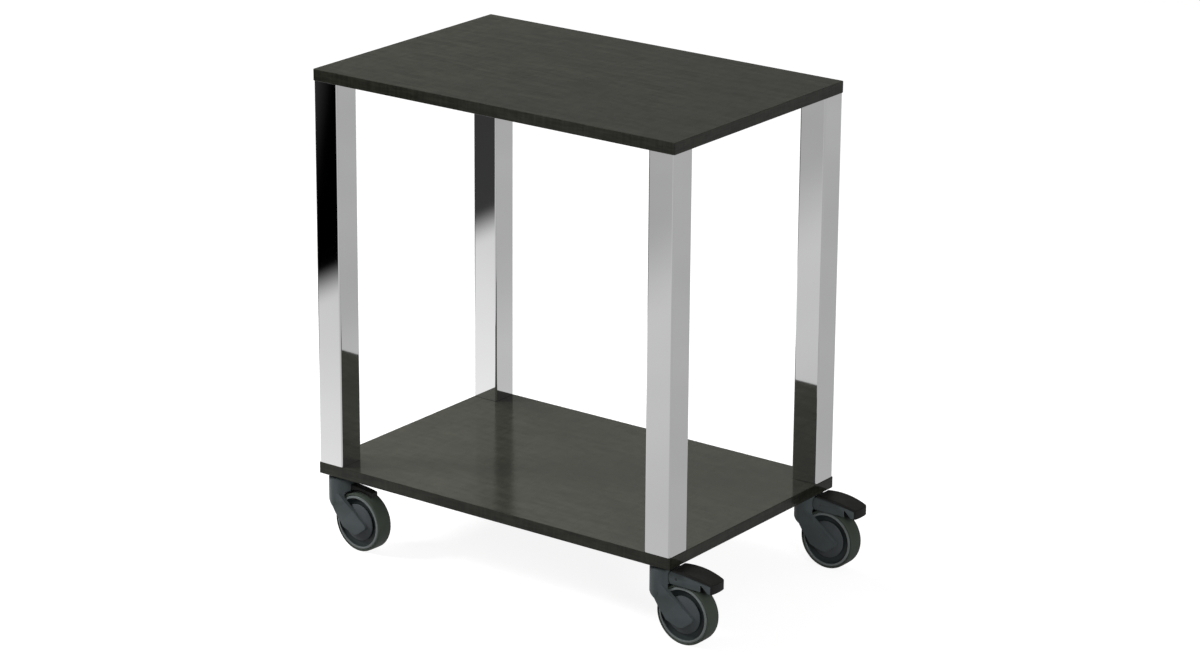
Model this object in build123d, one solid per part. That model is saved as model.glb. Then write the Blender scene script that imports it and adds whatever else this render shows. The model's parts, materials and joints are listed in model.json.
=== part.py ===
from build123d import *
import math
import os

# Serving trolley: two boards on four square chrome legs, standing on four swivel castors.
# Millimetres. The origin lies on the floor under the middle of the boards, +Z is up,
# +X points along the boards to the side with the braked castors, and -Y is the front.

# Boards
board_length = 740.0
board_width = 480.0
board_thickness = 20.0
board_corner_radius = 2.0
edging_thickness = 1.0
edging_arris = 0.6

# Legs, square tubes between the boards
leg_side = 50.0
leg_wall = 1.5
leg_corner_radius = 3.0
leg_length = 677.0
leg_inset = 1.0

# Plugs inside the two ends of each leg
plug_clearance = 0.1
plug_height = 30.0
plug_wall = 3.0
foot_plug_floor = 14.0
head_plug_floor = 10.0

# Peg under each foot plug, let into the lower board, which keeps the leg from turning
peg_diameter = 8.0
peg_length = 9.0
peg_clearance = 0.2
peg_from_stem = 18.0

# Countersunk wood screws between the head plugs and the top board
screw_diameter = 4.0
screw_head_diameter = 8.0
screw_head_height = 2.4
screw_length = 24.0
screw_spacing = 26.0
screw_clearance = 0.1

# Castor wheels and their place under the lower board
wheel_diameter = 104.0
tread_width = 30.0
head_room = 26.0
castor_inset = 29.0
trail = 47.0

# Each castor: side along X, side along Y, its turn about the stem in degrees, and its brake
straight_angle = 0.0
front_left_angle = -4.0
castors = {
    "front_right": (1, -1, straight_angle, True),
    "back_right": (1, 1, straight_angle, True),
    "front_left": (-1, -1, front_left_angle, False),
    "back_left": (-1, 1, straight_angle, False),
}

# Castor stem, its nut in the foot plug, and the ring that the fork turns on
thread_diameter = 10.0
thread_clearance = 0.1
stem_hole_clearance = 0.5
stem_past_nut = 2.0
stem_chamfer = 1.0
nut_across_flats = 17.0
nut_height = 8.0
nut_clearance = 0.1
flange_diameter = 32.0
flange_thickness = 2.0
journal_diameter = 12.0
journal_length = 16.0
rivet_diameter = 17.0
rivet_height = 3.0
rivet_clearance = 1.0
ring_diameter = 38.0
ring_thickness = 2.0
running_clearance = 0.05
thrust_clearance = 0.1

# Fork: round head that flows into two flat arms, bent inwards towards their axle bosses
right_angle = 90.0
head_radius = 25.0
head_fillet = 5.0
head_front_drop = 42.0
head_back_drop = 29.0
head_keel = 21.0
head_chin_radius = 10.0
bare_head_lean = 6.5
shoulder_drop = 26.0
shoulder_length = 20.0
shoulder_flat = 4.0
shoulder_inset = 0.2
arm_clearance = 2.0
arm_thickness = 7.5
arm_front = -8.0
arm_width = 50.0
arm_back_start = 9.0
arm_corner_radius = 3.0
arm_bottom_front = (-29.0, -12.0)
boss_thickness = 5.0
bend_start = 39.0
bend_end = 19.0
boss_bottom = (1.0, -22.0)
boss_back = (27.0, -2.0)
boss_bottom_radius = 16.0
boss_corner_radius = 5.0
wheel_space = 4.0
axle_diameter = 8.0
axle_in_arm = 3.0

# Lug behind the head of the braked fork, which carries the pedal's pin
lug_half_width = 9.0
lug_radius = 5.5
pivot_from_head = 10.0
pivot_above_tread = 9.0
pin_diameter = 5.0

# Wheel body: hub, web and a rim with a round bead at each side
hub_diameter = 22.0
hub_side_clearance = 0.4
web_thickness = 5.0
tyre_thickness = 4.0
bead_width = 4.5
bead_height = 2.1
bead_inset = 1.8
dish_width = 10.0
dish_depth = 4.5
dish_sag = 1.4
dish_ledge = 6.0
rim_draft = 1.5

# Tyre
tyre_lip = 0.8
tyre_edge_radius = 2.8

# Domed thread guards between the hub and the arms
guard_diameter = 65.0
guard_flat_diameter = 26.0
guard_thickness = 2.0
guard_dome = 3.8
guard_sag = 1.2

# Brake pedal: a lever with a panel at each side of the tyre, and a pad on top.
# The depths of the pad's curved top are taken from the underside of the board.
pedal_front_gap = 3.0
pedal_front_drop = 1.4
pedal_crest_drop = 2.4
pedal_crest_from_axle = 23.0
pedal_end_drop = 12.0
pedal_past_axle = 60.5
pad_thickness = 4.0
pad_front_half_width = 19.0
pad_middle_half_width = 21.5
pad_end_half_width = 18.5
pad_end_bulge = 2.0
pad_corner_radius = 5.0
pad_edge_radius = 2.0
blade_thickness = 2.5
panel_clearance = 1.0
panel_thickness = 2.0
panel_below_tread = 1.5
panel_front_radius = 15.0
notch_past_axle = 35.0
notch_width = 3.0
notch_height = 11.0
notch_slope = 12.0
shoe_past_pivot = 12.0
shoe_length = 12.0
shoe_half_width = 9.0
shoe_clearance = 0.3
brake_angle = 12.0

# Narrow hood over the tyre, plugged into the head of the fork without a brake.
# The rises of its curved top are taken from the top of the tread.
hood_head_gap = 0.1
hood_half_width = 7.0
hood_front_rise = 8.0
hood_crest_rise = 9.5
hood_crest_from_axle = 5.0
hood_end_rise = 6.5
hood_past_axle = 27.0
hood_edge_radius = 2.0
tongue_length = 6.0
tongue_half_width = 4.0
tongue_rise = 1.5
tongue_height = 5.0
hood_tongue_clearance = 0.1

# Heights and places that follow from the sizes above
wheel_radius = wheel_diameter / 2
castor_height = wheel_diameter + head_room
lower_board_top = castor_height + board_thickness
leg_top = lower_board_top + leg_length
total_height = leg_top + board_thickness
leg_x = board_length / 2 - leg_inset - leg_side / 2
leg_y = board_width / 2 - leg_inset - leg_side / 2
castor_x = board_length / 2 - castor_inset
castor_y = board_width / 2 - castor_inset
head_top = castor_height - flange_thickness - thrust_clearance - ring_thickness
shoulder_height = head_top - shoulder_drop
arm_inside = tread_width / 2 + arm_clearance
arm_outside = arm_inside + arm_thickness
boss_outside = arm_inside + boss_thickness
panel_inside = tread_width / 2 + panel_clearance
panel_outside = panel_inside + panel_thickness
pivot = (head_radius + pivot_from_head, wheel_diameter + pivot_above_tread)
panel_bottom = wheel_diameter - panel_below_tread
corners = {name: (side_x, side_y) for name, (side_x, side_y, turn, brake) in castors.items()}


def upright(outline, low, high):
    """An outline in the XY plane, raised from one height to another."""
    return extrude(Pos(0, 0, low) * outline, high - low)


def across(outline, half_width):
    """A side outline, drawn as X and height, widened by half_width to both sides along Y."""
    return extrude(Plane.XZ * outline, half_width, both=True)


def polygon(*points):
    return make_face(Polyline(*points, close=True))


def round_corner(face, point, radius):
    """The face with its corner nearest to the point rounded."""
    corner = face.vertices().sort_by_distance((*point, 0))[0]
    return fillet(corner, radius)


def along_y(face):
    """A profile of radius (X) and width (Y), turned once round the axle's line."""
    return Pos(trail, 0, wheel_radius) * revolve(face, Axis.Y)


def axle_cylinder(radius, half_width):
    return Pos(trail, 0, wheel_radius) * Rot(90, 0, 0) * Cylinder(radius, 2 * half_width)


def at_pivot():
    """The pedal's pivot, turned so that a cylinder lies along Y."""
    return Pos(pivot[0], 0, pivot[1]) * Rot(90, 0, 0)


def from_axle(offset):
    return (trail + offset[0], wheel_radius + offset[1])


def at_leg(side_x, side_y):
    return Pos(side_x * leg_x, side_y * leg_y, 0)


def at_castor(side_x, side_y):
    return Pos(side_x * castor_x, side_y * castor_y, 0)


# Boards

def board_blank(inset):
    radius = board_corner_radius - inset
    return RectangleRounded(board_length - 2 * inset, board_width - 2 * inset, radius)


def edging(low):
    """Strip glued round a board, with its outer edges broken."""
    high = low + board_thickness
    blank = upright(board_blank(0), low, high)
    rims = blank.edges().group_by(Axis.Z)[0] + blank.edges().group_by(Axis.Z)[-1]
    return chamfer(rims, edging_arris) - upright(board_blank(edging_thickness), low, high)


def lower_board():
    board = upright(board_blank(edging_thickness), castor_height, lower_board_top)
    stem_hole = Cylinder(thread_diameter / 2 + stem_hole_clearance, 4 * board_thickness)
    peg_hole = upright(
        Circle(peg_diameter / 2 + peg_clearance), lower_board_top - peg_length - peg_clearance, leg_top
    )
    for side_x, side_y in corners.values():
        board -= at_castor(side_x, side_y) * Pos(0, 0, castor_height) * stem_hole
        board -= at_peg(side_x, side_y) * peg_hole
    return board


def top_board():
    board = upright(board_blank(edging_thickness), leg_top, total_height)
    depth = screw_length - head_plug_floor + screw_clearance
    pilot = upright(Circle(screw_diameter / 2 + screw_clearance), leg_top, leg_top + depth)
    for side_x, side_y in corners.values():
        for place in screw_places(side_x, side_y):
            board -= place * pilot
    return board


# Legs and their plugs

def leg_outline(inset):
    side = leg_side - 2 * inset
    return RectangleRounded(side, side, max(leg_corner_radius - inset, leg_corner_radius / 3))


def leg():
    return upright(leg_outline(0) - leg_outline(leg_wall), lower_board_top, leg_top)


def plug(bottom, floor_height, open_upwards):
    """Moulded plug, a floor with four walls, that fills the end of a leg."""
    inset = leg_wall + plug_clearance
    blank = upright(leg_outline(inset), bottom, bottom + plug_height)
    low = bottom + floor_height if open_upwards else bottom
    high = low + plug_height - floor_height
    return blank - upright(leg_outline(inset + plug_wall), low, high)


def at_peg(side_x, side_y):
    """The peg stands inwards of the stem, on the diagonal of the corner."""
    step = peg_from_stem / math.sqrt(2)
    return Pos(side_x * (castor_x - step), side_y * (castor_y - step), 0)


def foot_plug(side_x, side_y):
    body = at_leg(side_x, side_y) * plug(lower_board_top, foot_plug_floor, True)
    peg = upright(Circle(peg_diameter / 2), lower_board_top - peg_length, nut_bottom())
    body += at_peg(side_x, side_y) * peg
    hole = upright(
        Circle(thread_diameter / 2 + stem_hole_clearance), lower_board_top, lower_board_top + plug_height
    )
    pocket = upright(nut_outline(nut_clearance), nut_bottom(), lower_board_top + plug_height)
    return body - at_castor(side_x, side_y) * (hole + pocket)


def nut_bottom():
    return lower_board_top + foot_plug_floor - nut_height


def nut_outline(clearance):
    return RegularPolygon(nut_across_flats / 2 + clearance, 6, major_radius=False)


def nut(side_x, side_y):
    bottom = nut_bottom() + nut_clearance
    body = upright(nut_outline(0), bottom, bottom + nut_height)
    bore = Cylinder(thread_diameter / 2 + thread_clearance, 4 * leg_side)
    return at_castor(side_x, side_y) * (body - Pos(0, 0, bottom) * bore)


def screw_places(side_x, side_y):
    """Two screws in a head plug, on the diagonal that runs along the corner."""
    step = screw_spacing / math.sqrt(8)
    centre = at_leg(side_x, side_y)
    return [centre * Pos(way * side_x * step, -way * side_y * step, 0) for way in (-1, 1)]


def head_plug(side_x, side_y):
    bottom = leg_top - plug_height
    body = at_leg(side_x, side_y) * plug(bottom, head_plug_floor, False)
    for place in screw_places(side_x, side_y):
        body -= place * screw(screw_clearance)
    return body


def screw(clearance):
    """Countersunk screw, or the room for it where a clearance is given."""
    low = leg_top - head_plug_floor - clearance
    head_radius_here = screw_head_diameter / 2 + clearance
    shank_radius = screw_diameter / 2 + clearance
    profile = polygon(
        (0, low),
        (head_radius_here, low),
        (shank_radius, low + screw_head_height + clearance),
        (shank_radius, low + screw_length - screw_diameter),
        (0, low + screw_length),
    )
    return revolve(Plane.XZ * profile, Axis.Z)


def screws():
    places = [place for sides in corners.values() for place in screw_places(*sides)]
    return Compound([place * screw(0) for place in places])


def nuts():
    return Compound([nut(*sides) for sides in corners.values()])


# Castor, with its stem on the Z axis and its wheel behind it towards +X

def stem():
    """Threaded stem, flange against the board, journal and the riveted end inside the head."""
    journal_bottom = head_top - journal_length - thrust_clearance
    profile = polygon(
        (0, journal_bottom - rivet_height),
        (rivet_diameter / 2, journal_bottom - rivet_height),
        (rivet_diameter / 2, journal_bottom),
        (journal_diameter / 2, journal_bottom),
        (journal_diameter / 2, castor_height - flange_thickness),
        (flange_diameter / 2, castor_height - flange_thickness),
        (flange_diameter / 2, castor_height),
        (thread_diameter / 2, castor_height),
        (thread_diameter / 2, stem_top() - stem_chamfer),
        (thread_diameter / 2 - stem_chamfer, stem_top()),
        (0, stem_top()),
    )
    return revolve(Plane.XZ * profile, Axis.Z)


def stem_top():
    return nut_bottom() + nut_clearance + nut_height + stem_past_nut


def swivel_ring():
    outline = Circle(ring_diameter / 2) - Circle(journal_diameter / 2 + running_clearance)
    return upright(outline, head_top, head_top + ring_thickness)


def head_outline(braked):
    """Side view of the head, whose underside runs back from its front to the wheel's space.
    The head of the fork without a brake leans back a little at its front."""
    chin = (-head_radius + (0 if braked else bare_head_lean), head_top - head_front_drop)
    outline = polygon(
        (-head_radius, castor_height),
        (-head_radius, head_top - head_fillet),
        chin,
        (-head_radius + head_keel, chin[1] - head_keel / 2),
        (head_radius, head_top - head_back_drop),
        (head_radius, castor_height),
    )
    return round_corner(outline, chin, head_chin_radius)


def arm_outline():
    """Side view of one arm, from the shoulder down and back to the boss round the axle."""
    knee = (arm_front, shoulder_height - shoulder_length)
    front = from_axle(arm_bottom_front)
    slope = (front[0] - knee[0]) / (knee[1] - front[1])
    outline = polygon(
        (knee[0] - shoulder_length * slope, shoulder_height),
        front,
        from_axle(boss_bottom),
        from_axle(boss_back),
        (arm_back_start, shoulder_height),
    )
    outline = round_corner(outline, from_axle(boss_bottom), boss_bottom_radius)
    for corner in (arm_bottom_front, boss_back):
        outline = round_corner(outline, from_axle(corner), boss_corner_radius)
    return outline


def round_section():
    """Circle just inside the head, in eight arcs, short ones at its sides and long ones between them."""
    radius = head_radius - shoulder_inset
    side_angle = math.degrees(math.asin(shoulder_flat / 2 / radius))
    between_angle = right_angle - 2 * side_angle
    arcs = []
    for quarter in range(4):
        start = right_angle * quarter - side_angle
        arcs.append(CenterArc((0, 0), radius, start, 2 * side_angle))
        arcs.append(CenterArc((0, 0), radius, start + 2 * side_angle, between_angle))
    return make_face(arcs)


def arms_section(length):
    """Plan of the two arms together, a rounded rectangle that starts at the arms' front."""
    middle = arm_front + length / 2
    return Pos(middle, 0) * RectangleRounded(length, 2 * arm_outside, arm_corner_radius)


def arms_blank():
    """Solid whose circle under the head flows down into the straight sides of the arms."""
    knee_height = shoulder_height - shoulder_length
    knee = Pos(0, 0, knee_height) * arms_section(arm_width)
    shoulder = loft([knee, Pos(0, 0, shoulder_height) * round_section()], ruled=True)
    return shoulder + upright(arms_section(4 * head_radius), 0, knee_height)


def fork_bend():
    """Solid that bounds the arms: wide at the head, then bent in to the faces of the bosses.
    Its profile lies in the plane of the arms' length and the Y axis, with the axle at zero."""
    reach = 2 * castor_height
    wide = arm_outside + head_fillet
    profile = polygon(
        (-reach, -wide),
        (-bend_start, -wide),
        (-bend_start, -arm_outside),
        (-bend_end, -boss_outside),
        (reach, -boss_outside),
        (reach, boss_outside),
        (-bend_end, boss_outside),
        (-bend_start, arm_outside),
        (-bend_start, wide),
        (-reach, wide),
    )
    length = Vector(trail, 0, wheel_radius - shoulder_height)
    plane = Plane(origin=(trail, 0, wheel_radius), x_dir=length, z_dir=length.cross(Vector(0, 1, 0)))
    return extrude(plane * profile, reach, both=True)


def fork(braked):
    body = fork_head(braked)
    body += arms_blank() & across(arm_outline(), 2 * head_radius) & fork_bend()
    body -= axle_cylinder(wheel_radius + wheel_space, arm_inside)
    body -= axle_cylinder(axle_diameter / 2 + running_clearance, arm_inside + axle_in_arm)
    land_bottom = head_top - journal_length
    body -= upright(Circle(journal_diameter / 2 + running_clearance), land_bottom, head_top)
    return body - upright(Circle(rivet_diameter / 2 + rivet_clearance), wheel_radius, land_bottom)


def fork_head(braked):
    """Round head, with the lug of the brake or the pocket for the hood's tongue."""
    head = upright(Circle(head_radius), 0, head_top)
    head = fillet(head.edges().group_by(Axis.Z)[-1], head_fillet)
    head &= across(head_outline(braked), 2 * head_radius)
    return head + brake_lug() if braked else head - hood_tongue(hood_tongue_clearance)


def brake_lug():
    """Lug that reaches back from the head to the pedal's pivot, with a round end and the pin's hole."""
    bar = Rectangle(2 * pivot_from_head, 2 * lug_radius)
    outline = Pos(*pivot) * Circle(lug_radius) + Pos(pivot[0] - pivot_from_head, pivot[1]) * bar
    outline -= Pos(*pivot) * Circle(pin_diameter / 2)
    return across(outline, lug_half_width) - upright(Circle(head_radius / 2), 0, castor_height)


def axle():
    return axle_cylinder(axle_diameter / 2, arm_inside + axle_in_arm)


def both_sides(half):
    """Face between a half outline in the XY plane, which starts and ends at Y 0, and its mirror."""
    return make_face(half + mirror(half, Plane.XZ))


def wheel():
    """Wheel body: hub, web and rim, whose bead stands out at each side of the tyre. Inside the bead
    the rim is dished, down to a ledge that the guard hides."""
    bore = axle_diameter / 2 + running_clearance
    hub_end = tread_width / 2 - hub_side_clearance
    seat = wheel_radius - tyre_thickness
    bead_foot = tread_width / 2 - bead_inset
    bead_top = (seat - bead_width / 2, bead_foot + bead_height)
    dish_top = (seat - bead_width, bead_foot)
    dish_middle = (dish_top[0] - dish_width / 2, bead_foot - dish_depth / 2 - dish_sag)
    dish_bottom = (dish_top[0] - dish_width, bead_foot - dish_depth)
    ledge_end = dish_bottom[0] - dish_ledge
    half = (
        Line((seat, 0), (seat, bead_foot))
        + ThreePointArc((seat, bead_foot), bead_top, dish_top)
        + ThreePointArc(dish_top, dish_middle, dish_bottom)
        + Polyline(
            dish_bottom,
            (ledge_end, dish_bottom[1]),
            (ledge_end - rim_draft, web_thickness / 2),
            (hub_diameter / 2, web_thickness / 2),
            (hub_diameter / 2, hub_end),
            (bore, hub_end),
            (bore, 0),
        )
    )
    return along_y(both_sides(half))


def tyre():
    """Tyre band with rounded edges, on the rim's seat between the beads."""
    seat = wheel_radius - tyre_thickness
    edge = tread_width / 2
    half = Polyline(
        (seat, 0),
        (seat, edge - bead_inset),
        (seat + tyre_lip, edge),
        (wheel_radius, edge),
        (wheel_radius, 0),
    )
    band = both_sides(half)
    for side in (-1, 1):
        band = round_corner(band, (wheel_radius, side * edge), tyre_edge_radius)
    return along_y(band)


def guard(side):
    """Domed thread guard against the inner face of one arm."""
    bore = axle_diameter / 2 + running_clearance
    rim = guard_diameter / 2
    flat = guard_flat_diameter / 2
    outer = arm_inside
    inner = arm_inside - guard_thickness
    middle = (rim + flat) / 2
    outline = make_face(
        Polyline((bore, inner), (bore, outer), (flat, outer))
        + ThreePointArc((flat, outer), (middle, outer - guard_sag), (rim, outer - guard_dome))
        + Polyline((rim, outer - guard_dome), (rim, inner - guard_dome))
        + ThreePointArc((rim, inner - guard_dome), (middle, inner - guard_sag), (flat, inner))
        + Polyline((flat, inner), (bore, inner))
    )
    dome = along_y(outline)
    return dome if side > 0 else mirror(dome, Plane.XZ)


# Brake pedal and hood

def pedal_arc(drop):
    """Ends and crest of the pad's curved top, seen from the side, moved inwards by the drop."""
    start = (head_radius + pedal_front_gap, castor_height - pedal_front_drop - drop)
    crest = (trail + pedal_crest_from_axle, castor_height - pedal_crest_drop - drop)
    end = (trail + pedal_past_axle - drop, castor_height - pedal_end_drop - drop / 2)
    return start, crest, end


def pedal_layer(upper, lower):
    """Side outline between two curves of the pedal, from its front and over its end."""
    top = pedal_arc(upper)
    under = pedal_arc(lower)
    return make_face(
        ThreePointArc(*top)
        + Polyline(top[2], (top[2][0], panel_bottom), (under[2][0], panel_bottom), under[2])
        + ThreePointArc(*reversed(under))
        + Polyline(under[0], top[0])
    )


def below_pedal(drop):
    """Side outline of all that lies under a curve of the pedal, back to the stem's line."""
    start, crest, end = pedal_arc(drop)
    return make_face(
        ThreePointArc(start, crest, end)
        + Polyline(end, (end[0], 0), (0, 0), (0, start[1]), start)
    )


def pedal_pad():
    """Black pad of the pedal, barrel-shaped from above, which wraps over the pedal's end.
    All edges of its top are rounded but the front one, next to the head."""
    body = across(pedal_layer(0, pad_thickness), 2 * pad_middle_half_width)
    body &= upright(pad_plan(), 0, castor_height)
    top = body.faces().sort_by(Axis.Z)[-1]
    return fillet(top.edges().sort_by(Axis.X)[1:], pad_edge_radius)


def pad_plan():
    """The pad from above: curved sides, and a curved end with round corners."""
    start, crest, end = pedal_arc(0)
    right = [
        (start[0], -pad_front_half_width),
        (crest[0], -pad_middle_half_width),
        (end[0] - pad_end_bulge, -pad_end_half_width),
    ]
    left = [(x, -y) for x, y in reversed(right)]
    sides = ThreePointArc(*right) + ThreePointArc(*left)
    ends = ThreePointArc(right[2], (end[0], 0), left[0]) + Line(left[2], right[0])
    outline = make_face(sides + ends)
    for corner in (right[2], left[0]):
        outline = round_corner(outline, corner, pad_corner_radius)
    return outline


def pedal_panels():
    """Both side panels, rounded about the pivot at their front and notched at their bottom."""
    front = Pos(*pivot) * Circle(panel_front_radius)
    reach = 4 * castor_height
    outline = front + Pos(pivot[0] + reach / 2, pivot[1]) * Rectangle(reach, reach)
    outline &= below_pedal(pad_thickness)
    outline -= Rectangle(reach, 2 * panel_bottom)
    notch_x = trail + notch_past_axle
    outline -= polygon(
        (notch_x, 0),
        (notch_x, panel_bottom + notch_height),
        (notch_x + notch_width, panel_bottom + notch_height),
        (notch_x + notch_width + notch_slope, panel_bottom),
        (notch_x + notch_width + notch_slope, 0),
    )
    return across(outline, panel_outside) - across(outline, panel_inside)


def brake_shoe():
    """Block under the blade, hollowed to fit the tread once the pedal is stepped down."""
    front = pivot[0] + shoe_past_pivot
    outline = polygon(
        (front, wheel_diameter),
        (front + shoe_length, wheel_diameter),
        (front + shoe_length, castor_height),
        (front, castor_height),
    )
    outline &= below_pedal(pad_thickness + blade_thickness / 2)
    tread = axle_cylinder(wheel_radius + shoe_clearance, panel_outside)
    there = Pos(pivot[0], 0, pivot[1])
    return across(outline, shoe_half_width) - there * Rot(0, -brake_angle, 0) * there.inverse() * tread


def pedal():
    """Lever of the brake: blade under the pad, side panels on the pin, and the shoe."""
    blade = across(pedal_layer(pad_thickness, pad_thickness + blade_thickness), panel_outside)
    body = blade + pedal_panels() + brake_shoe()
    return body - at_pivot() * Cylinder(pin_diameter / 2 + running_clearance, 4 * panel_outside)


def pedal_pin():
    return at_pivot() * Cylinder(pin_diameter / 2, 2 * panel_outside)


def hood_tongue(clearance):
    """Tongue that plugs the hood into the head, or its pocket where a clearance is given."""
    low = wheel_diameter + tongue_rise - clearance
    outline = Rectangle(4 * tongue_length, 2 * tongue_half_width + 2 * clearance)
    tongue = upright(Pos(head_radius, 0) * outline, low, low + tongue_height + 2 * clearance)
    return tongue - upright(Circle(head_radius - tongue_length - clearance), 0, castor_height)


def hood():
    """Narrow hood that follows the tyre, behind the head of the fork without a brake."""
    start = (0, wheel_diameter + hood_front_rise)
    crest = (trail + hood_crest_from_axle, wheel_diameter + hood_crest_rise)
    end = (trail + hood_past_axle, wheel_diameter + hood_end_rise)
    outline = make_face(
        ThreePointArc(start, crest, end) + Polyline(end, (end[0], wheel_radius), (0, wheel_radius), start)
    )
    body = across(outline, hood_half_width)
    body = fillet(body.faces().sort_by(Axis.Z)[-1].edges(), hood_edge_radius)
    body -= axle_cylinder(wheel_radius + wheel_space, arm_inside)
    body -= upright(Circle(head_radius + hood_head_gap), 0, castor_height)
    return body + (hood_tongue(0) & upright(Circle(head_radius + tongue_length), 0, castor_height))


def castor_pieces(braked):
    pieces = {
        "stem": stem(),
        "swivel_ring": swivel_ring(),
        "fork": fork(braked),
        "axle": axle(),
        "wheel": wheel(),
        "tyre": tyre(),
        "front_guard": guard(-1),
        "back_guard": guard(1),
    }
    if braked:
        pieces["pedal"] = pedal()
        pieces["pedal_pad"] = pedal_pad()
        pieces["pedal_pin"] = pedal_pin()
    else:
        pieces["hood"] = hood()
    return pieces


def trolley():
    """Every node of the trolley by name, each in its place."""
    nodes = {
        "top_board": top_board(),
        "top_edging": edging(leg_top),
        "lower_board": lower_board(),
        "lower_edging": edging(castor_height),
        "head_plug_screws": screws(),
        "stem_nuts": nuts(),
    }
    kinds = {braked: castor_pieces(braked) for braked in (True, False)}
    for name, (side_x, side_y, turn, braked) in castors.items():
        nodes[f"{name}_leg"] = at_leg(side_x, side_y) * leg()
        nodes[f"{name}_head_plug"] = head_plug(side_x, side_y)
        nodes[f"{name}_foot_plug"] = foot_plug(side_x, side_y)
        place = at_castor(side_x, side_y) * Rot(0, 0, turn)
        for piece, shape in kinds[braked].items():
            nodes[f"{name}_{piece}"] = place * shape
    return nodes


os.makedirs("parts", exist_ok=True)
for node_name, node_shape in trolley().items():
    export_step(node_shape, f"parts/{node_name}.step")
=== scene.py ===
"""Looks of the serving trolley: its finishes, detailed pieces, stage and camera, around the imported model.

Lengths are in metres and angles in radians unless a name or a docstring says otherwise.
"""

import json
import math

import bmesh
import bpy
import numpy as np
from mathutils import Matrix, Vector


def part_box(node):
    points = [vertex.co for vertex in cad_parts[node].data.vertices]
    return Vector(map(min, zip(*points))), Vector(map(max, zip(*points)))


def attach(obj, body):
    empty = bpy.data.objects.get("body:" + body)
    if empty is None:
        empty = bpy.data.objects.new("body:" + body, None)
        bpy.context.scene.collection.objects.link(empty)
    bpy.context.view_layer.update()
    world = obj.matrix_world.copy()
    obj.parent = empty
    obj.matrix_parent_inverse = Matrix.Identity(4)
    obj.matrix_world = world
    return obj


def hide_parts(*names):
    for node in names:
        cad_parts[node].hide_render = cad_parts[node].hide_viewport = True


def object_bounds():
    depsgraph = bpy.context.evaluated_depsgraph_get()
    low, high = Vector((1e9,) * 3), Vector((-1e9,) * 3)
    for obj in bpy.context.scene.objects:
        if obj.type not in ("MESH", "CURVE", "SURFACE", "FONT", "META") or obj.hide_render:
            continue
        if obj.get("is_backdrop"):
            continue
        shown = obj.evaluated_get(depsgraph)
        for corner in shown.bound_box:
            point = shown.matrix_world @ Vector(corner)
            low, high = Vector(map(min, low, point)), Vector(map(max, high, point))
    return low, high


bl_info = {
    "name": "Serving Trolley",
    "version": (1, 0, 0),
    "blender": (4, 5, 0),
    "location": "3D View > Sidebar > Trolley",
    "description": "Finishes the boards, chrome legs and castors of a serving trolley on its stage",
    "category": "Object",
}

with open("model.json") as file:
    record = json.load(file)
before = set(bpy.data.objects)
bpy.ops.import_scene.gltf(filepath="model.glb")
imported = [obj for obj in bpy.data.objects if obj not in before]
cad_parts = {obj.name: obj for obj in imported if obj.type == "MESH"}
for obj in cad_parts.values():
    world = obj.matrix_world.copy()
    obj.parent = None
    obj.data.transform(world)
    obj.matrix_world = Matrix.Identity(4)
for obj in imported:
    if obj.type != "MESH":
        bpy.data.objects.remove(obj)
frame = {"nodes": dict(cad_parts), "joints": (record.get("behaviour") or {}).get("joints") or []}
cad_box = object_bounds()

BOARDS = ("top", "lower")
CORNERS = ("front_right", "back_right", "front_left", "back_left")
BRAKED = tuple(corner for corner in CORNERS if f"{corner}_pedal" in frame["nodes"])
BARE = tuple(corner for corner in CORNERS if corner not in BRAKED)
UP = np.array((0.0, 0.0, 1.0))
MM = 0.001

# Points this close are one point, and readings this close to a size belong to it
WELD = 0.001 * MM
TOUCH = 0.05 * MM

# Angles and the area that tell how the edge between two faces is shaded
NEARLY_FLAT = math.radians(0.4)
SHALLOW_BEND = math.radians(3.0)
MOULDED_EDGE = math.radians(30.0)
SHARP = math.radians(35.0)
LARGE_FLAT = 250.0 * MM**2


# Shader trees


class Wire:
    """An output socket of a shader. Its operators add Math nodes: a sum written here is the shader's sum."""

    def __init__(self, tree, socket):
        self.tree = tree
        self.socket = socket

    def out(self, name):
        """Another output of the same node."""
        return Wire(self.tree, self.socket.node.outputs[name])

    def math(self, operation, *values):
        return self.tree.add("ShaderNodeMath", {"operation": operation}, dict(enumerate(values)))

    def __add__(self, other):
        return self.math("ADD", self, other)

    def __radd__(self, other):
        return self.math("ADD", other, self)

    def __sub__(self, other):
        return self.math("SUBTRACT", self, other)

    def __rsub__(self, other):
        return self.math("SUBTRACT", other, self)

    def __mul__(self, other):
        return self.math("MULTIPLY", self, other)

    def __rmul__(self, other):
        return self.math("MULTIPLY", other, self)

    def step(self, start, end):
        """Smooth step, 0 at the start and 1 at the end."""
        settings = {"interpolation_type": "SMOOTHSTEP"}
        values = {"Value": self, "From Min": start, "From Max": end}
        return self.tree.add("ShaderNodeMapRange", settings, values)

    def blend(self, low, high):
        """Colour that goes from low to high as this wire goes from 0 to 1."""
        values = {0: self, 6: low, 7: high}
        return self.tree.add("ShaderNodeMix", {"data_type": "RGBA"}, values, output=2)


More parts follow.
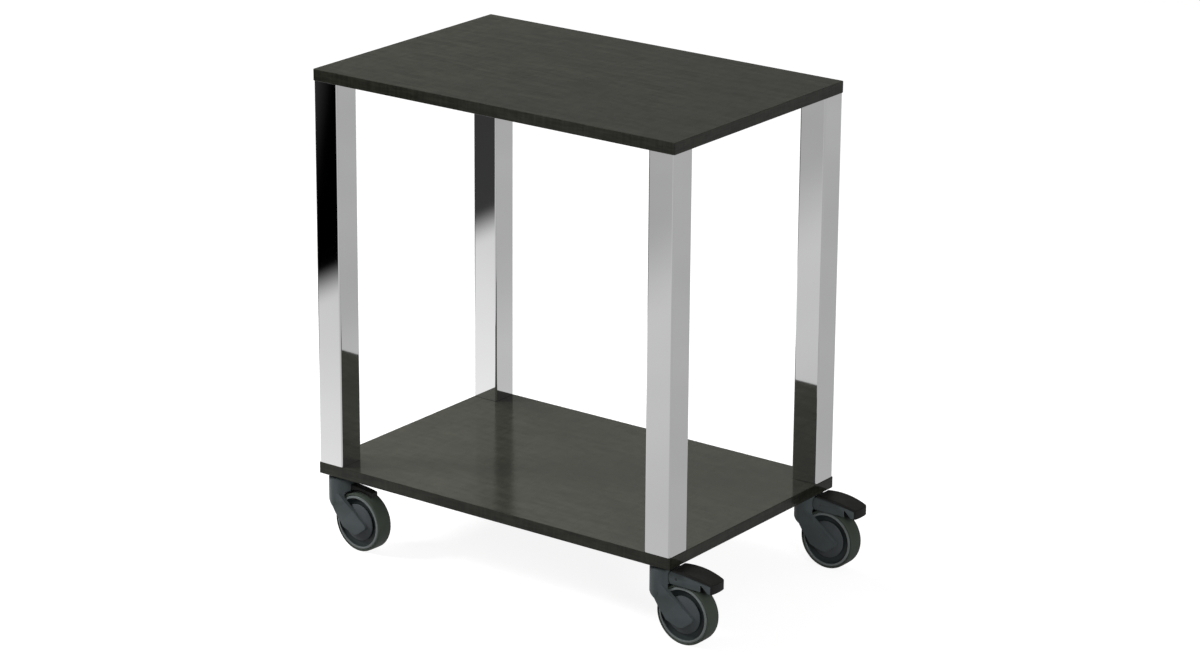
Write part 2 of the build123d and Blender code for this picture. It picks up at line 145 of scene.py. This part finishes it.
class Tree:
    """The node tree of a material or a world."""

    def __init__(self, owner):
        owner.use_nodes = True
        self.nodes = owner.node_tree.nodes
        self.links = owner.node_tree.links
        self.nodes.clear()

    def add(self, kind, settings=None, values=None, output=0):
        """Adds a node: first its settings, then the numbers or links of its sockets."""
        node = self.nodes.new(kind)
        for name, value in (settings or {}).items():
            setattr(node, name, value)
        for key, value in (values or {}).items():
            if isinstance(value, Wire):
                self.links.new(value.socket, node.inputs[key])
            else:
                node.inputs[key].default_value = value
        return Wire(self, node.outputs[output])

    def place(self, scale=(1.0, 1.0, 1.0)):
        """The piece's own coordinates, multiplied along each axis: a large factor makes fine detail."""
        here = self.add("ShaderNodeTexCoord", output="Object")
        return self.add("ShaderNodeMapping", None, {"Vector": here, "Scale": scale})

    def noise(self, scale, detail=2.0):
        """Noise from 0 to 1 with about as many features a metre along each axis as the scale says."""
        values = {"Vector": self.place(scale), "Scale": 1.0, "Detail": detail}
        return self.add("ShaderNodeTexNoise", None, values)

    def bump(self, height, depth):
        return self.add("ShaderNodeBump", None, {"Height": height, "Distance": depth})

    def surface(self, shader):
        self.nodes.new("ShaderNodeOutputMaterial")
        self.links.new(shader.socket, self.nodes[-1].inputs["Surface"])


def rgb(colour, factor=1.0):
    return (*(factor * part for part in colour), 1.0)


def grey(level):
    return rgb((level, level, level))


def finish(name, tint, gloss, **sockets):
    """A finish on one Principled shader. tint and gloss make its Base Color and Roughness in the tree."""
    material = bpy.data.materials.new(name)
    tree = Tree(material)
    values = {key.replace("_", " "): value for key, value in sockets.items()}
    relief = values.pop("relief", None)
    if relief:
        values["Normal"] = relief(tree)
    values["Base Color"] = tint(tree)
    values["Roughness"] = gloss(tree)
    tree.surface(tree.add("ShaderNodeBsdfPrincipled", None, values))
    return material


def laminate(name, colour, contrast, roughness, along, across, shine=0.5):
    """Dark wood-look laminate: long streaks, fine fibres, a faint cross weave and short dark pores.
    along and across are the axis multipliers of a fibre's length and width."""

    def fibres(tree, length, width, detail=2.0):
        scale = tuple(length * a + width * b for a, b in zip(along, across))
        return tree.noise(scale, detail)

    def tint(tree):
        streaks = fibres(tree, 10.0, 60.0, 3.0)
        threads = fibres(tree, 30.0, 260.0)
        weave = fibres(tree, 240.0, 30.0)
        pores = fibres(tree, 45.0, 900.0, 0.0).step(0.62, 0.74)
        tone = 0.5 + contrast * (1.1 * streaks + 1.1 * threads + 1.0 * weave - 1.6) - 0.35 * contrast * pores
        return tone.step(0.0, 1.0).blend(rgb(colour, 0.6), rgb(colour, 1.4))

    def gloss(tree):
        return roughness + 0.16 * (fibres(tree, 14.0, 420.0) - 0.5)

    def relief(tree):
        return tree.bump(fibres(tree, 45.0, 900.0, 0.0), 0.04 * MM)

    return finish(name, tint, gloss, relief=relief, Specular_IOR_Level=shine)


def moulded(name, colour, roughness, grain=900.0, depth=0.03, shine=0.2):
    """Moulded plastic or rubber: a slight unevenness of colour and gloss, and a fine even grain, with so
    many grains a metre and of a depth in mm."""

    def tint(tree):
        return tree.noise((60.0, 60.0, 60.0), 3.0).blend(rgb(colour, 0.86), rgb(colour, 1.14))

    def gloss(tree):
        return roughness + 0.14 * (tree.noise((110.0, 110.0, 110.0), 4.0) - 0.5)

    def relief(tree):
        return tree.bump(tree.noise((grain, grain, grain), 1.0), depth * MM)

    return finish(name, tint, gloss, relief=relief, Specular_IOR_Level=shine)


def metal(name, colour, roughness, waviness=0.0):
    """Plated metal with faint haze. waviness is the depth in mm of long shallow waves in the tube."""

    def tint(tree):
        return tree.noise((9.0, 9.0, 3.0), 2.0).blend(rgb(colour, 0.985), rgb(colour, 1.0))

    def gloss(tree):
        return roughness * (0.7 + 0.6 * tree.noise((30.0, 30.0, 12.0), 4.0))

    def relief(tree):
        return tree.bump(tree.noise((5.0, 5.0, 4.0), 0.0), waviness * MM)

    return finish(name, tint, gloss, relief=relief if waviness else None, Metallic=1.0)


# Shapes worked out as whole arrays


def grid_faces(rows, columns):
    """Quads of a grid of points, row by row, that closes round both ways."""
    row, column = np.meshgrid(np.arange(rows), np.arange(columns), indexing="ij")
    next_row, next_column = (row + 1) % rows, (column + 1) % columns
    corners = ((row, column), (row, next_column), (next_row, next_column), (next_row, column))
    return np.stack([(i * columns + j).ravel() for i, j in corners], axis=1)


def rounded(corners, radii):
    """Closed outline in which each corner is an arc of its radius, tangent to both sides: the arc's centre
    lies on the corner's bisector, and its points are the weighted sums of its first and last spokes."""
    steps = 8
    corners = np.asarray(corners, float)
    radii = np.broadcast_to(np.asarray(radii, float), len(corners))[:, None]
    before = np.roll(corners, 1, axis=0) - corners
    after = np.roll(corners, -1, axis=0) - corners
    before /= np.linalg.norm(before, axis=1, keepdims=True)
    after /= np.linalg.norm(after, axis=1, keepdims=True)
    half = np.arccos(np.clip((before * after).sum(axis=1, keepdims=True), -1, 1)) / 2
    middle = before + after
    middle /= np.linalg.norm(middle, axis=1, keepdims=True)
    centre = corners + middle * radii / np.sin(half)
    first = corners + before * radii / np.tan(half) - centre
    last = corners + after * radii / np.tan(half) - centre
    sweep = (math.pi - 2 * half)[:, None]
    share = np.linspace(0, 1, steps)[None, :, None]
    spokes = first[:, None] * np.sin((1 - share) * sweep) + last[:, None] * np.sin(share * sweep)
    return (centre[:, None] + spokes / np.sin(sweep)).reshape(-1, 2)


def turned(profile, hub, axle):
    """Surface of revolution: each profile point, a radius and a distance along the axle, goes once round."""
    steps = 128
    angle = np.linspace(0, 2 * math.pi, steps, endpoint=False)[:, None, None]
    spoke = np.cos(angle) * UP + np.sin(angle) * np.cross(axle, UP)
    points = hub + profile[:, 1, None] * axle + profile[:, 0, None] * spoke
    return points.reshape(-1, 3), grid_faces(steps, len(profile))


def tube(outline, rings, centre):
    """Closed tube wall: the outline is drawn once for each ring, an inset and a height, round the wall."""
    loops = []
    for inset, height in rings:
        loop = outline(inset)
        loops.append(np.column_stack((loop, np.full(len(loop), height))))
    points = np.concatenate(loops) + np.array((*centre, 0.0))
    return points, grid_faces(len(rings), len(loops[0]))


def new_object(name, data):
    """A new object in the scene, at the origin."""
    thing = bpy.data.objects.new(name, data)
    bpy.context.scene.collection.objects.link(thing)
    return thing


def add_piece(name, body, material, shells, flat=False):
    """A piece from its shells of points and faces, smooth but for its sharp edges.
    On a flat piece the large faces keep their own direction, so that only the corners look round."""
    mesh = bpy.data.meshes.new(name)
    starts = np.cumsum([0] + [len(points) for points, _ in shells])
    points = np.concatenate([points for points, _ in shells])
    faces = [face for (_, quads), start in zip(shells, starts) for face in (quads + start).tolist()]
    mesh.from_pydata(points.tolist(), [], faces)
    work = bmesh.new()
    work.from_mesh(mesh)
    bmesh.ops.remove_doubles(work, verts=work.verts, dist=WELD)
    bmesh.ops.recalc_face_normals(work, faces=work.faces)
    work.to_mesh(mesh)
    work.free()
    mesh.shade_smooth()
    mesh.set_sharp_from_angle(angle=SHARP)
    mesh.materials.append(material)
    piece = new_object(name, mesh)
    if flat:
        piece.modifiers.new("flat faces", "WEIGHTED_NORMAL").keep_sharp = True
    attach(piece, body)
    return piece


def softened(node, name, body, material, radius):
    """A copy of a rigid node whose moulded edges are rounded by a radius, in metres.
    A shallow bend between two large flats stays crisp."""
    mesh = frame["nodes"][node].data.copy()
    mesh.name = name
    work = bmesh.new()
    work.from_mesh(mesh)
    bmesh.ops.remove_doubles(work, verts=work.verts, dist=2 * WELD)
    bmesh.ops.dissolve_limit(work, angle_limit=NEARLY_FLAT, verts=work.verts, edges=work.edges)
    for crease in work.edges:
        smaller = min(face.calc_area() for face in crease.link_faces)
        if smaller > LARGE_FLAT and crease.calc_face_angle() > SHALLOW_BEND:
            crease.smooth = False
    work.to_mesh(mesh)
    work.free()
    mesh.shade_smooth()
    mesh.materials.clear()
    mesh.materials.append(material)
    piece = new_object(name, mesh)
    bevel = piece.modifiers.new("rounded edges", "BEVEL")
    bevel.width = radius
    bevel.segments = 3
    bevel.limit_method = "ANGLE"
    bevel.angle_limit = MOULDED_EDGE
    bevel.harden_normals = True
    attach(piece, body)
    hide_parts(node)
    return piece


def node_points(node):
    mesh = frame["nodes"][node].data
    points = np.empty(3 * len(mesh.vertices), np.float32)
    mesh.vertices.foreach_get("co", points)
    return points.reshape(-1, 3).astype(float)


def axle_line(corner):
    """A wheel's hub, a point on its axle, and the axle's direction."""
    joint = next(joint for joint in frame["joints"] if joint["name"] == f"{corner}_wheel_spin")
    return np.array(joint["pos_m"]), np.array(joint["axis"], float)


def about_axle(node, corner):
    """Radius of each of a node's points about its axle, and its distance along it from the wheel's middle."""
    hub, axle = axle_line(corner)
    points = node_points(node) - hub
    along = points @ axle
    return np.linalg.norm(points - along[:, None] * axle, axis=1), along


def paint(material, *names):
    for name in names:
        materials = frame["nodes"][name].data.materials
        materials.clear()
        materials.append(material)


# Sizes and colours that a user would change


def colour_property(name, description, default):
    return bpy.props.FloatVectorProperty(
        name=name, description=description, default=default, subtype="COLOR", size=3, min=0.0, max=1.0
    )


def share_property(name, description, default):
    return bpy.props.FloatProperty(
        name=name, description=description, default=default, subtype="FACTOR", min=0.0, max=1.0
    )


def length_property(name, description, default):
    return bpy.props.FloatProperty(
        name=name, description=description, default=default, subtype="DISTANCE", unit="LENGTH", precision=4
    )


def angle_property(name, description, degrees):
    return bpy.props.FloatProperty(
        name=name, description=description, default=math.radians(degrees), unit="ROTATION"
    )


def power_property(name, description, default):
    return bpy.props.FloatProperty(name=name, description=description, default=default, unit="POWER")


class BoardSettings(bpy.types.PropertyGroup):
    colour: colour_property("Colour", "Mean colour of the laminate", (0.0266, 0.0278, 0.0195))
    edge_colour: colour_property("Edge colour", "Mean colour of the edging strips", (0.023, 0.0239, 0.0181))
    contrast: share_property("Grain contrast", "Strength of the grain in the laminate", 0.8)
    roughness: share_property("Roughness", "Roughness of the laminate", 0.13)


class LegSettings(bpy.types.PropertyGroup):
    colour: colour_property("Colour", "Reflection colour of the chrome", (0.80, 0.80, 0.805))
    roughness: share_property("Roughness", "Roughness of the chrome", 0.035)
    corner_radius: length_property("Corner radius", "Outer radius of the tube's corners", 0.003)
    wall: length_property("Wall", "Thickness of the tube's wall", 0.0015)
    end_break: length_property("Broken edge", "Width of the broken edge at the tube's ends", 0.0003)


class CastorSettings(bpy.types.PropertyGroup):
    fork_colour: colour_property("Fork colour", "Colour of the forks and pedals", (0.071, 0.0845, 0.0885))
    guard_colour: colour_property("Guard colour", "Colour of the thread guards", (0.075, 0.083, 0.088))
    dish_colour: colour_property("Wheel colour", "Colour of the wheel bodies", (0.024, 0.031, 0.032))
    # A lighter plastic whose light grey is also partly a painted highlight on the ring's rounded crest
    ring_and_highlight_colour: colour_property("Ring colour", "Colour of the ring beside the tyre", (0.15, 0.17, 0.168))
    tyre_colour: colour_property("Tyre colour", "Colour of the tyres", (0.058, 0.070, 0.058))
    # Also painted shade: on the hoods this near-black stands in for the shade under the board
    pad_and_hood_shade_colour: colour_property("Pad colour", "Colour of the pedal pads and hoods", (0.014, 0.014, 0.0135))
    edge: length_property("Edge radius", "Radius of the moulded edges of the forks", 0.0008)


class StageSettings(bpy.types.PropertyGroup):
    azimuth: angle_property("Azimuth", "Camera's turn from the front", 36.443)
    elevation: angle_property("Elevation", "Camera's height angle", 18.505)
    roll: angle_property("Roll", "Camera's turn about its own axis", 0.415)
    distance: length_property("Distance", "From the camera to its target", 6.6677)
    target: bpy.props.FloatVectorProperty(
        name="Target",
        description="Point the camera looks at",
        default=(0.05065, 0.0, 0.40865),
        subtype="XYZ",
    )
    lens: bpy.props.FloatProperty(
        name="Lens", description="Focal length for a 36 mm sensor", default=118.71, unit="CAMERA"
    )
    key_power: power_property("Key light", "Power of the lamp at the front left", 200.0)
    side_power: power_property("Side light", "Power of the lamp at the left", 36.0)
    fill_power: power_property("Fill light", "Power of the lamp at the right", 90.0)
    sky: share_property("Sky", "Strength of the even light from the room", 0.28)


SETTINGS = {
    "trolley_boards": BoardSettings,
    "trolley_legs": LegSettings,
    "trolley_castors": CastorSettings,
    "trolley_stage": StageSettings,
}


# Pieces


class TROLLEY_OT_boards(bpy.types.Operator):
    """Finish both boards and their edging strips"""

    bl_idname = "trolley.boards"
    bl_label = "Boards"

    def execute(self, context):
        look = context.scene.trolley_boards
        same = {"contrast": look.contrast, "roughness": look.roughness}
        top = laminate("board_laminate", look.colour, along=(1, 0, 0), across=(0, 1, 1), **same)
        strip = laminate("edging", look.edge_colour, along=(1, 1, 0), across=(0, 0, 1), shine=0.2, **same)
        for board in BOARDS:
            paint(top, f"{board}_board")
            paint(strip, f"{board}_edging")
        return {"FINISHED"}


class TROLLEY_OT_legs(bpy.types.Operator):
    """Build the four chrome tubes"""

    bl_idname = "trolley.legs"
    bl_label = "Legs"

    def execute(self, context):
        look = context.scene.trolley_legs
        chrome = metal("leg_chrome", look.colour, look.roughness, waviness=0.02)
        for corner in CORNERS:
            low, high = (np.array(point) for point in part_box(f"{corner}_leg"))
            half = (high - low)[0] / 2

            def outline(inset):
                side = half - inset
                square = [(side, side), (-side, side), (-side, -side), (side, -side)]
                return rounded(square, max(look.corner_radius - inset, look.corner_radius / 3))

            lip = look.end_break
            rings = [
                (lip, low[2]),
                (0.0, low[2] + lip),
                (0.0, high[2] - lip),
                (lip, high[2]),
                (look.wall, high[2]),
                (look.wall, low[2]),
            ]
            middle = (low + high)[:2] / 2
            walls = [tube(outline, rings, middle)]
            piece = add_piece(f"{corner}_leg_tube", "frame", chrome, walls, flat=True)
            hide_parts(f"{corner}_leg")
        return {"FINISHED"}


class TROLLEY_OT_hardware(bpy.types.Operator):
    """Finish the plugs, screws, nuts, stems, rings, axles and pins"""

    bl_idname = "trolley.hardware"
    bl_label = "Hardware"

    def execute(self, context):
        zinc = metal("zinc_steel", (0.62, 0.63, 0.64), roughness=0.28)
        black_steel = metal("black_steel", (0.06, 0.06, 0.062), roughness=0.35)
        plug = moulded("plug_plastic", (0.02, 0.02, 0.02), roughness=0.5)
        paint(zinc, "head_plug_screws", "stem_nuts")
        for corner in CORNERS:
            paint(zinc, f"{corner}_stem", f"{corner}_swivel_ring", f"{corner}_axle")
            paint(plug, f"{corner}_head_plug", f"{corner}_foot_plug")
        paint(black_steel, *(f"{corner}_pedal_pin" for corner in BRAKED))
        return {"FINISHED"}


class TROLLEY_OT_forks(bpy.types.Operator):
    """Finish the forks with moulded edges"""

    bl_idname = "trolley.forks"
    bl_label = "Forks"

    def execute(self, context):
        look = context.scene.trolley_castors
        satin = moulded("fork_plastic", look.fork_colour, roughness=0.42)
        for corner in CORNERS:
            body = f"swivel_{corner}"
            piece = softened(f"{corner}_fork", f"{corner}_fork_moulding", body, satin, look.edge)
        return {"FINISHED"}


class TROLLEY_OT_wheels(bpy.types.Operator):
    """Build the tyres, the wheel bodies and the light rings beside the tyres, a lighter plastic whose tone is
    partly a painted highlight
    """

    bl_idname = "trolley.wheels"
    bl_label = "Wheels"

    def execute(self, context):
        look = context.scene.trolley_castors
        rubber = moulded("tyre_rubber", look.tyre_colour, roughness=0.62, grain=1400.0, depth=0.05)
        dish = moulded("wheel_plastic", look.dish_colour, roughness=0.38)
        # The ring's light grey is partly a painted highlight on its rounded crest
        bright = moulded("rim_ring", look.ring_and_highlight_colour, roughness=0.22, depth=0.01, shine=0.5)
        for corner in CORNERS:
            hub, axle = axle_line(corner)
            body = f"wheel_{corner}"
            seat, tread, foot, edge = tyre_sizes(corner)
            tyre = tyre_profile(seat, tread, foot, edge)
            piece = add_piece(f"{corner}_tyre_band", body, rubber, [turned(tyre, hub, axle)])
            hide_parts(f"{corner}_tyre")
            radii, widths, bead = wheel_sizes(corner, seat, foot)
            wheel = dish_profile((*radii, seat), (*widths, foot))
            piece = add_piece(f"{corner}_wheel_dish", body, dish, [turned(wheel, hub, axle)])
            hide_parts(f"{corner}_wheel")
            ring = ring_profile(radii[-1], seat, foot, bead)
            rings = [turned(ring * (1, side), hub, axle) for side in (1, -1)]
            piece = add_piece(f"{corner}_rim_rings", body, bright, rings)
        return {"FINISHED"}


def tyre_sizes(corner):
    """Sizes of a tyre's solid: radii of its seat and tread, half its width at the seat and at the most."""
    radius, along = about_axle(f"{corner}_tyre", corner)
    seat = radius.min()
    return seat, radius.max(), along[radius < seat + TOUCH].max(), along.max()


def wheel_sizes(corner, seat, foot):
    """Sizes of a wheel's solid, inside a tyre whose seat has a radius and half a width: the radii of its
    bore, hub, ledge and rim, half its widths at hub, web and ledge, and how far its bead stands out."""
    radius, along = about_axle(f"{corner}_wheel", corner)
    bore = radius.min()
    near_bore, halfway = bore + 1.0 * MM, 0.5 * seat
    hub_edge = along[radius < near_bore].max()
    hub_face = radius[along > hub_edge - 0.01 * MM]
    hub = hub_face[hub_face < halfway].max()
    rim = radius[(along > foot - TOUCH) & (radius > halfway)].min()
    web = np.abs(along).min()
    ledge = radius[(radius > 1.2 * hub) & (along > 2 * web)].min()
    floor = along[np.abs(radius - ledge) < 2 * TOUCH].max()
    return (bore, hub, ledge, rim), (hub_edge, web, floor), along.max() - foot


def tyre_profile(seat, tread, foot, edge):
    """Tyre section: a crowned tread between rounded shoulders, on a seat that is narrower than the tread."""
    crown, lip = 0.25 * MM, 0.9 * MM
    flat_tread = 0.35 * edge
    half = [(seat + lip, edge), (tread - crown, edge), (tread, flat_tread)]
    corners = [(seat, -foot), *((radius, -along) for radius, along in half), *half[::-1], (seat, foot)]
    seat_edge, lip_edge, shoulder, tread_edge = 0.2 * MM, 0.5 * MM, 2.6 * MM, 30.0 * MM
    radii = (seat_edge, lip_edge, shoulder, tread_edge)
    return rounded(corners, (*radii, *radii[::-1]))


def dish_profile(radii, widths):
    """Wheel body section: hub, web, a ledge and a dish that curves out to the rim, and the tyre's seat.
    The dish is a quarter of an ellipse between the ledge and the rim."""
    bore, hub, ledge, rim, seat = radii
    hub_edge, web, floor, foot = widths
    step, draft = 0.1 * MM, 1.5 * MM
    top = foot - step
    turn = np.linspace(0, math.pi / 2, 12)
    reach, depth = 0.8 * (rim - ledge), 0.55 * (top - floor)
    dish = np.column_stack((rim - reach * (1 - np.cos(turn)), top - depth * np.sin(turn)))
    inside = [(ledge, top - depth), (ledge - draft, web), (hub, web), (hub, hub_edge), (bore, hub_edge)]
    half = np.concatenate((((seat, top),), dish, inside))
    return np.concatenate((half, half[::-1] * (1, -1)))


def ring_profile(rim, seat, foot, bead):
    """Section of the ring beside the tyre: a quarter of an ellipse that falls outwards from its crest to
    the tyre's seat, and a small one that falls inwards to the rim as the rounded nose."""
    turn = np.linspace(0, math.pi / 2, 9)
    nose, drop = 0.5 * MM, 0.25 * bead
    crest = rim + nose
    fall = np.column_stack((crest + (seat - crest) * np.cos(turn), foot + bead * np.sin(turn)))
    front = np.column_stack((crest - nose * np.sin(turn), foot + bead - drop * (1 - np.cos(turn))))
    sunk = foot - 0.3 * bead
    return np.concatenate((fall, front[1:], ((rim, sunk), (seat, sunk))))


class TROLLEY_OT_guards(bpy.types.Operator):
    """Build the domed thread guards beside the hubs"""

    bl_idname = "trolley.guards"
    bl_label = "Guards"

    def execute(self, context):
        look = context.scene.trolley_castors
        satin = moulded("guard_plastic", look.guard_colour, roughness=0.4, shine=0.1)
        for corner in CORNERS:
            hub, axle = axle_line(corner)
            for side, name in ((-1, "front_guard"), (1, "back_guard")):
                node = f"{corner}_{name}"
                radius, along = about_axle(node, corner)
                profile = guard_profile(radius, side * along)
                profile[:, 1] *= side
                piece = add_piece(f"{node}_dome", f"swivel_{corner}", satin, [turned(profile, hub, axle)])
                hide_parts(node)
        return {"FINISHED"}


def guard_profile(radius, along):
    """Section of a guard: a flat round the axle, then a parabola down to the rim, with a broken edge."""
    bore, rim = radius.min(), radius.max()
    outer, low = along.max(), along[radius > rim - 4 * TOUCH].max()
    flat, thickness = 13.0 * MM, 2.0 * MM
    rim_inset, rim_drop = 0.4 * MM, 0.5 * MM
    out = np.linspace(flat, rim - rim_inset, 12)
    fall = (outer - low) * ((out - flat) / (rim - flat)) ** 2
    top = np.column_stack((out, outer - fall))
    edge = ((rim, low - rim_drop), (rim, low - thickness + rim_drop))
    under = top[::-1] - (0.0, thickness)
    return np.concatenate((((bore, outer),), top, edge, under, ((bore, outer - thickness),)))


class TROLLEY_OT_pedals(bpy.types.Operator):
    """Finish the brake pedals and their pads, and paint the hoods of the other castors near-black as painted
    shade under the board
    """

    bl_idname = "trolley.pedals"
    bl_label = "Pedals and hoods"

    def execute(self, context):
        look = context.scene.trolley_castors
        satin = moulded("pedal_plastic", look.fork_colour, roughness=0.42)
        pad_black_and_hood_shade = moulded("pad_plastic", look.pad_and_hood_shade_colour, roughness=0.55, grain=1100.0, depth=0.06)
        pedal_edge = 0.35 * MM
        for corner in BRAKED:
            body = f"pedal_{corner}"
            piece = softened(f"{corner}_pedal", f"{corner}_pedal_lever", body, satin, pedal_edge)
            paint(pad_black_and_hood_shade, f"{corner}_pedal_pad")
        # Painted shade: the hoods take the pads' near-black, which stands in for the shade under the board
        for corner in BARE:
            paint(pad_black_and_hood_shade, f"{corner}_hood")
        return {"FINISHED"}


# Stage


class TROLLEY_OT_stage(bpy.types.Operator):
    """Build the floor, the room's light, the lamps and the camera"""

    bl_idname = "trolley.stage"
    bl_label = "Stage"

    def execute(self, context):
        look = context.scene.trolley_stage
        reach, below = 15.0, 0.1 * MM
        corners = [(-reach, -reach), (reach, -reach), (reach, reach), (-reach, reach)]
        mesh = bpy.data.meshes.new("floor")
        mesh.from_pydata([(x, y, -below) for x, y in corners], [], [(0, 1, 2, 3)])
        mesh.materials.append(floor_finish())
        floor = new_object("floor", mesh)
        floor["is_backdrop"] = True
        light_room(context.scene, look.sky)
        lamp("key_light", look.key_power, place=(-3.6, -2.1, 2.9), target=(0.0, 0.0, 0.2), size=1.0)
        lamp("side_light", look.side_power, place=(-1.5, 0.3, 1.9), target=(0.0, 0.0, 0.4), size=1.0)
        lamp("fill_light", look.fill_power, place=(3.6, -2.1, 1.7), target=(0.0, 0.0, 0.1), size=1.4)
        place_camera(context.scene, look)
        context.scene.view_settings.view_transform = "Standard"
        return {"FINISHED"}


def floor_finish():
    """Pale floor: white to the camera but for the shadow on it. To polished metal it shows a painted
    reflection, a glow that only glossy rays see: brightest at the left, falling off towards the front and
    dark at the far left. The steps run between places on the floor, in metres, and aside grows towards the
    far left."""
    material = bpy.data.materials.new("floor_paint")
    tree = Tree(material)
    plain = tree.add("ShaderNodeBsdfDiffuse", None, {"Color": grey(0.08)})
    shaded = tree.add("ShaderNodeBsdfDiffuse", None, {"Color": grey(0.25)})
    glow = tree.add("ShaderNodeEmission", None, {"Color": grey(1), "Strength": 0.89})
    seen = tree.add("ShaderNodeAddShader", None, {0: shaded, 1: glow})
    here = tree.add("ShaderNodeSeparateXYZ", None, {0: tree.place()})
    x, y = here.out("X"), here.out("Y")
    aside = y - 1.3 * x
    near = 0.46 + 0.205 * x.step(-1.08, -0.6) - 0.07 * x.step(-0.35, 0.1) - 0.11 * x.step(0.1, 0.6)
    left = 0.70 + 0.32 * y.step(-1.5, 0.1)
    level = near + aside.step(-0.4, 0.2) * x.step(-0.15, -0.45) * (left - near)
    level = level + 0.10 * (tree.noise((1.7, 1.7, 1.0)) - 0.5)
    # Painted dark patch in the reflection at the far left
    dark = x.step(-1.22, -1.4) * aside.step(-0.3, 0.1)
    level = level * (1 - dark * (1 - 0.06 * aside.step(0.42, 0.6)))
    # Painted reflection: this glow is seen only by glossy rays and lights nothing
    mirrored = tree.add("ShaderNodeEmission", None, {"Color": level.blend(grey(0), grey(1))})
    rays = tree.add("ShaderNodeLightPath")
    paint_or_seen = tree.add("ShaderNodeMixShader", None, {0: rays.out("Is Camera Ray"), 1: plain, 2: seen})
    to_metal = {0: rays.out("Is Glossy Ray"), 1: paint_or_seen, 2: mirrored}
    tree.surface(tree.add("ShaderNodeMixShader", None, to_metal))
    return material


def light_room(scene, sky):
    """Light from the room, more of it from above. The camera sees white, and glossy surfaces a room that is
    bright above the horizon, at the back left and less so at the front left. The steps run between parts of
    the direction's unit vector."""
    world = bpy.data.worlds.new("room")
    scene.world = world
    tree = Tree(world)
    here = tree.add("ShaderNodeSeparateXYZ", None, {0: tree.add("ShaderNodeTexCoord", output="Generated")})
    high = here.out("Z")
    x, y = here.out("X"), here.out("Y")
    back_left = (y - x).step(0.2, 1.2) * high.step(0.29, 0.395) * (0.82 + 0.18 * x.step(-0.53, -0.62))
    front_left = 0.55 * x.step(-0.53, -0.57) * y.step(0.0, -0.3) * high.step(0.1, 0.2)
    seen = tree.add("ShaderNodeBackground", None, {"Color": grey(1), "Strength": 1.0})
    dome = (high * high).blend(grey(0.3), grey(1.7))
    even = tree.add("ShaderNodeBackground", None, {"Color": dome, "Strength": sky})
    glow = (back_left + front_left).blend(grey(0.13), rgb((0.64, 0.64, 0.585)))
    mirrored = tree.add("ShaderNodeBackground", None, {"Color": glow})
    rays = tree.add("ShaderNodeLightPath")
    lit = tree.add("ShaderNodeMixShader", None, {0: rays.out("Is Glossy Ray"), 1: even, 2: mirrored})
    both = tree.add("ShaderNodeMixShader", None, {0: rays.out("Is Camera Ray"), 1: lit, 2: seen})
    tree.nodes.new("ShaderNodeOutputWorld")
    tree.links.new(both.socket, tree.nodes[-1].inputs["Surface"])


def looking_at(place, target, roll=0.0):
    """Columns right, up and back of something that looks from its place at a target, turned by its roll."""
    back = np.subtract(place, target)
    back /= np.linalg.norm(back)
    right = np.cross(UP, back)
    right /= np.linalg.norm(right)
    up = np.cross(back, right)
    side = math.cos(roll) * right + math.sin(roll) * up
    return np.column_stack((side, np.cross(back, side), back))


def put(thing, place, columns):
    matrix = np.identity(4)
    matrix[:3, :3] = columns
    matrix[:3, 3] = place
    thing.matrix_world = Matrix(matrix.tolist())


def lamp(name, power, place, target, size):
    """A square lamp that doesn't show in polished surfaces, which mirror the room."""
    data = bpy.data.lights.new(name, "AREA")
    data.shape = "SQUARE"
    data.size = size
    data.energy = power
    thing = new_object(name, data)
    thing.visible_glossy = False
    put(thing, place, looking_at(place, target))


def place_camera(scene, look):
    azimuth, elevation = look.azimuth, look.elevation
    back = np.array(
        (
            math.sin(azimuth) * math.cos(elevation),
            -math.cos(azimuth) * math.cos(elevation),
            math.sin(elevation),
        )
    )
    data = bpy.data.cameras.new("camera")
    data.sensor_width = 36.0
    data.lens = look.lens
    camera = new_object("camera", data)
    place = np.array(look.target) + look.distance * back
    put(camera, place, looking_at(place, np.array(look.target), look.roll))
    scene.camera = camera


OPERATORS = (
    TROLLEY_OT_boards,
    TROLLEY_OT_legs,
    TROLLEY_OT_hardware,
    TROLLEY_OT_forks,
    TROLLEY_OT_wheels,
    TROLLEY_OT_guards,
    TROLLEY_OT_pedals,
    TROLLEY_OT_stage,
)


class TROLLEY_PT_sidebar(bpy.types.Panel):
    """The trolley's settings and steps"""

    bl_idname = "TROLLEY_PT_sidebar"
    bl_label = "Serving Trolley"
    bl_space_type = "VIEW_3D"
    bl_region_type = "UI"
    bl_category = "Trolley"

    def draw(self, context):
        for name, group in SETTINGS.items():
            box = self.layout.box()
            for key in group.__annotations__:
                box.prop(getattr(context.scene, name), key)
        for operator in OPERATORS:
            self.layout.operator(operator.bl_idname)


CLASSES = (*SETTINGS.values(), *OPERATORS, TROLLEY_PT_sidebar)


def register():
    for item in CLASSES:
        bpy.utils.register_class(item)
    for name, group in SETTINGS.items():
        setattr(bpy.types.Scene, name, bpy.props.PointerProperty(type=group))


def unregister():
    for name in SETTINGS:
        delattr(bpy.types.Scene, name)
    for item in reversed(CLASSES):
        bpy.utils.unregister_class(item)


def main():
    register()
    for operator in OPERATORS:
        group, action = operator.bl_idname.split(".")
        getattr(getattr(bpy.ops, group), action)()
    boxes = {"cad": cad_box, "visual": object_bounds()}
    {name: [list(corner) for corner in box] for name, box in boxes.items()}


if __name__ == "__main__":
    main()
